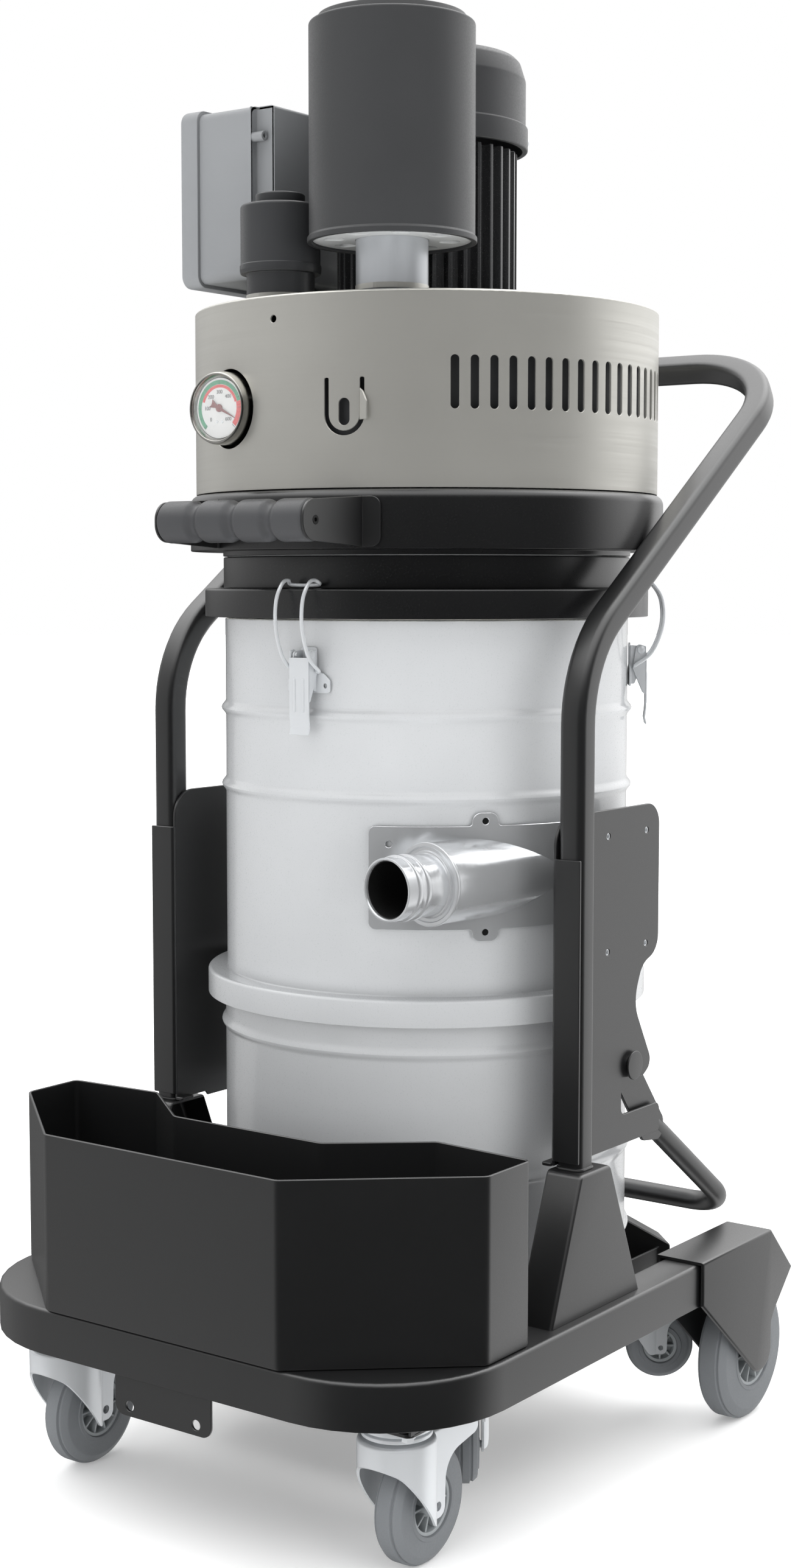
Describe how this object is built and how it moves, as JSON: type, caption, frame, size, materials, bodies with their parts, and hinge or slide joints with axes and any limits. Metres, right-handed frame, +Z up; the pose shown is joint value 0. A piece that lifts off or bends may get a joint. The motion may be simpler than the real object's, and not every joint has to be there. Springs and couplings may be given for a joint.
{
  "type": "mobile industrial dust collector",
  "caption": "Wheeled drum-shaped dust collector with motor head, latched filter chamber, lever-released dust container on a dolly, push handle and accessory basket.",
  "frame": {"origin": "middle of the footprint box on the floor under the wheels", "axes": "+Z up along the drum axis, -Y the front with the accessory basket, +X the machine's side with the hose inlet"},
  "size_m": [0.65, 0.8392, 1.567],
  "materials": {
    "frame_black": "satin black powder coat",
    "head_black": "smooth satin black enamel",
    "drum_white": "gloss light grey enamel",
    "stainless": "horizontally brushed stainless steel",
    "zinc": "bright zinc plate",
    "wheel_grey": "grey non-marking rubber on a grey moulded hub",
    "filter_cloth": "off-white needle felt",
    "motor_black": "black enamel on cast alloy",
    "rotor_metal": "machined alloy",
    "fan_cover_grey": "dark grey enamel",
    "silencer_grey": "satin dark grey enamel",
    "silencer_plate_grey": "light grey moulded plastic",
    "valve_black": "black moulded plastic",
    "box_grey": "mid grey moulded plastic",
    "knob_black": "black moulded plastic",
    "gauge_case": "polished stainless bezel round a white dial",
    "needle_red": "dull red lacquer",
    "grip_black": "ribbed dark grey plastic"
  },
  "bodies": {
    "machine_frame": {"head_cover": "stainless", "inlet_port": "zinc", "filter_chamber": "drum_white", "head_base": "head_black", "motor_fan_cover": "fan_cover_grey", "filter_cartridge": "filter_cloth", "push_handle": "frame_black", "motor_body": "motor_black", "side_plate_right": "frame_black", "side_plate_left": "frame_black", "base_deck": "frame_black", "relief_valve_body": "valve_black", "clamp_ring": "head_black", "carry_grip": "grip_black", "blower_housing": "motor_black", "silencer_body": "silencer_grey", "gauge_body": "gauge_case", "wheel_hood_right": "frame_black", "wheel_hood_left": "frame_black", "upper_ring": "head_black", "silencer_base": "silencer_plate_grey", "latch_base_1": "zinc", "latch_base_2": "zinc", "latch_base_3": "zinc", "accessory_basket": "frame_black", "control_box": "box_grey", "control_box_lid": "box_grey", "exhaust_pipe": "zinc", "grip_bracket_right": "frame_black", "grip_bracket_left": "frame_black", "control_box_bracket": "frame_black", "tower_right": "frame_black", "tower_left": "frame_black"},
    "front_swivel_right": {"front_castor_fork_right": "zinc"},
    "front_wheel_right": {"front_wheel_right": "wheel_grey"},
    "rear_wheel_right": {"rear_wheel_right": "wheel_grey"},
    "front_swivel_left": {"front_castor_fork_left": "zinc"},
    "front_wheel_left": {"front_wheel_left": "wheel_grey"},
    "rear_wheel_left": {"rear_wheel_left": "wheel_grey"},
    "container": {"dust_container": "drum_white", "container_dolly": "frame_black"},
    "release_lever": {"release_lever": "frame_black"},
    "dolly_swivel_front_right": {"dolly_fork_front_right": "zinc"},
    "dolly_wheel_front_right": {"dolly_wheel_front_right": "wheel_grey"},
    "dolly_swivel_rear_right": {"dolly_fork_rear_right": "zinc"},
    "dolly_wheel_rear_right": {"dolly_wheel_rear_right": "wheel_grey"},
    "dolly_swivel_front_left": {"dolly_fork_front_left": "zinc"},
    "dolly_wheel_front_left": {"dolly_wheel_front_left": "wheel_grey"},
    "dolly_swivel_rear_left": {"dolly_fork_rear_left": "zinc"},
    "dolly_wheel_rear_left": {"dolly_wheel_rear_left": "wheel_grey"},
    "latch_lever_1": {"latch_lever_1": "zinc"},
    "latch_bail_1": {"latch_bail_1": "zinc"},
    "latch_lever_2": {"latch_lever_2": "zinc"},
    "latch_bail_2": {"latch_bail_2": "zinc"},
    "latch_lever_3": {"latch_lever_3": "zinc"},
    "latch_bail_3": {"latch_bail_3": "zinc"},
    "blower_rotor": {"blower_rotor": "rotor_metal"},
    "gauge_needle": {"gauge_needle": "needle_red"},
    "relief_valve_cap": {"relief_valve_cap": "valve_black"},
    "switch_knob": {"switch_knob": "knob_black"}
  },
  "joints": [
    {"name": "front_castor_swivel_right", "type": "hinge", "parent": "machine_frame", "child": "front_swivel_right", "pos_m": [0.227, -0.31959, 0.15], "axis": [0, 0, 1], "continuous": true},
    {"name": "front_wheel_spin_right", "type": "hinge", "parent": "front_swivel_right", "child": "front_wheel_right", "pos_m": [0.227, -0.28159, 0.0625], "axis": [1, 0, 0], "continuous": true},
    {"name": "rear_wheel_spin_right", "type": "hinge", "parent": "machine_frame", "child": "rear_wheel_right", "pos_m": [0.2955, 0.27441, 0.08], "axis": [1, 0, 0], "continuous": true},
    {"name": "front_castor_swivel_left", "type": "hinge", "parent": "machine_frame", "child": "front_swivel_left", "pos_m": [-0.227, -0.31959, 0.15], "axis": [0, 0, 1], "continuous": true},
    {"name": "front_wheel_spin_left", "type": "hinge", "parent": "front_swivel_left", "child": "front_wheel_left", "pos_m": [-0.227, -0.28159, 0.0625], "axis": [1, 0, 0], "continuous": true},
    {"name": "rear_wheel_spin_left", "type": "hinge", "parent": "machine_frame", "child": "rear_wheel_left", "pos_m": [-0.2955, 0.27441, 0.08], "axis": [1, 0, 0], "continuous": true},
    {"name": "container_drop", "type": "slide", "parent": "machine_frame", "child": "container", "axis": [0, 0, -1], "range_m": [0, 0.0345]},
    {"name": "release_lever_lift", "type": "hinge", "parent": "machine_frame", "child": "release_lever", "pos_m": [0, 0.06541, 0.453], "axis": [1, 0, 0], "range_deg": [0, 50]},
    {"name": "dolly_castor_swivel_front_right", "type": "hinge", "parent": "container", "child": "dolly_swivel_front_right", "pos_m": [0.184, -0.13759, 0.13], "axis": [0, 0, 1], "continuous": true},
    {"name": "dolly_wheel_spin_front_right", "type": "hinge", "parent": "dolly_swivel_front_right", "child": "dolly_wheel_front_right", "pos_m": [0.19693, -0.15539, 0.075], "axis": [-0.809, -0.5878, 0], "continuous": true},
    {"name": "dolly_castor_swivel_rear_right", "type": "hinge", "parent": "container", "child": "dolly_swivel_rear_right", "pos_m": [0.184, 0.23441, 0.13], "axis": [0, 0, 1], "continuous": true},
    {"name": "dolly_wheel_spin_rear_right", "type": "hinge", "parent": "dolly_swivel_rear_right", "child": "dolly_wheel_rear_right", "pos_m": [0.2018, 0.24734, 0.075], "axis": [0.5878, -0.809, 0], "continuous": true},
    {"name": "dolly_castor_swivel_front_left", "type": "hinge", "parent": "container", "child": "dolly_swivel_front_left", "pos_m": [-0.184, -0.13759, 0.13], "axis": [0, 0, 1], "continuous": true},
    {"name": "dolly_wheel_spin_front_left", "type": "hinge", "parent": "dolly_swivel_front_left", "child": "dolly_wheel_front_left", "pos_m": [-0.19295, -0.11749, 0.075], "axis": [0.9135, 0.4067, 0], "continuous": true},
    {"name": "dolly_castor_swivel_rear_left", "type": "hinge", "parent": "container", "child": "dolly_swivel_rear_left", "pos_m": [-0.184, 0.23441, 0.13], "axis": [0, 0, 1], "continuous": true},
    {"name": "dolly_wheel_spin_rear_left", "type": "hinge", "parent": "dolly_swivel_rear_left", "child": "dolly_wheel_rear_left", "pos_m": [-0.20342, 0.24474, 0.075], "axis": [0.4695, 0.8829, 0], "continuous": true},
    {"name": "latch_open_1", "type": "hinge", "parent": "machine_frame", "child": "latch_lever_1", "pos_m": [0.01282, -0.19626, 0.907], "axis": [-0.9986, -0.0523, 0], "range_deg": [0, 140]},
    {"name": "latch_bail_swing_1", "type": "hinge", "parent": "latch_lever_1", "child": "latch_bail_1", "pos_m": [0.01251, -0.19026, 0.89], "axis": [-0.9986, -0.0523, 0], "range_deg": [-140, 0]},
    {"name": "latch_open_2", "type": "hinge", "parent": "machine_frame", "child": "latch_lever_2", "pos_m": [0.20547, 0.18185, 0.907], "axis": [0.5446, -0.8387, 0], "range_deg": [0, 140]},
    {"name": "latch_bail_swing_2", "type": "hinge", "parent": "latch_lever_2", "child": "latch_bail_2", "pos_m": [0.20044, 0.17858, 0.89], "axis": [0.5446, -0.8387, 0], "range_deg": [-140, 0]},
    {"name": "latch_open_3", "type": "hinge", "parent": "machine_frame", "child": "latch_lever_3", "pos_m": [-0.2183, 0.15964, 0.907], "axis": [0.454, 0.891, 0], "range_deg": [0, 140]},
    {"name": "latch_bail_swing_3", "type": "hinge", "parent": "latch_lever_3", "child": "latch_bail_3", "pos_m": [-0.21295, 0.15691, 0.89], "axis": [0.454, 0.891, 0], "range_deg": [-140, 0]},
    {"name": "blower_spin", "type": "hinge", "parent": "machine_frame", "child": "blower_rotor", "pos_m": [0, 0.04841, 1.3], "axis": [0, 0, 1], "continuous": true},
    {"name": "gauge_needle_sweep", "type": "hinge", "parent": "machine_frame", "child": "gauge_needle", "pos_m": [-0.084, -0.22159, 1.1687], "axis": [0, -1, 0], "range_deg": [-18, 252]},
    {"name": "relief_valve_lift", "type": "slide", "parent": "machine_frame", "child": "relief_valve_cap", "axis": [0, 0, 1], "range_m": [0, 0.008], "stiffness_N_per_m": 1500, "springref_m": -0.006},
    {"name": "main_switch_turn", "type": "hinge", "parent": "machine_frame", "child": "switch_knob", "pos_m": [-0.25, 0.04841, 1.44], "axis": [1, 0, 0], "range_deg": [0, 90]}
  ],
  "couplings": [
    {"joint": "release_lever_lift", "follows": "container_drop", "rad_per_m": 25.29},
    {"joint": "latch_bail_swing_1", "follows": "latch_open_1", "ratio": -1},
    {"joint": "latch_bail_swing_2", "follows": "latch_open_2", "ratio": -1},
    {"joint": "latch_bail_swing_3", "follows": "latch_open_3", "ratio": -1}
  ]
}
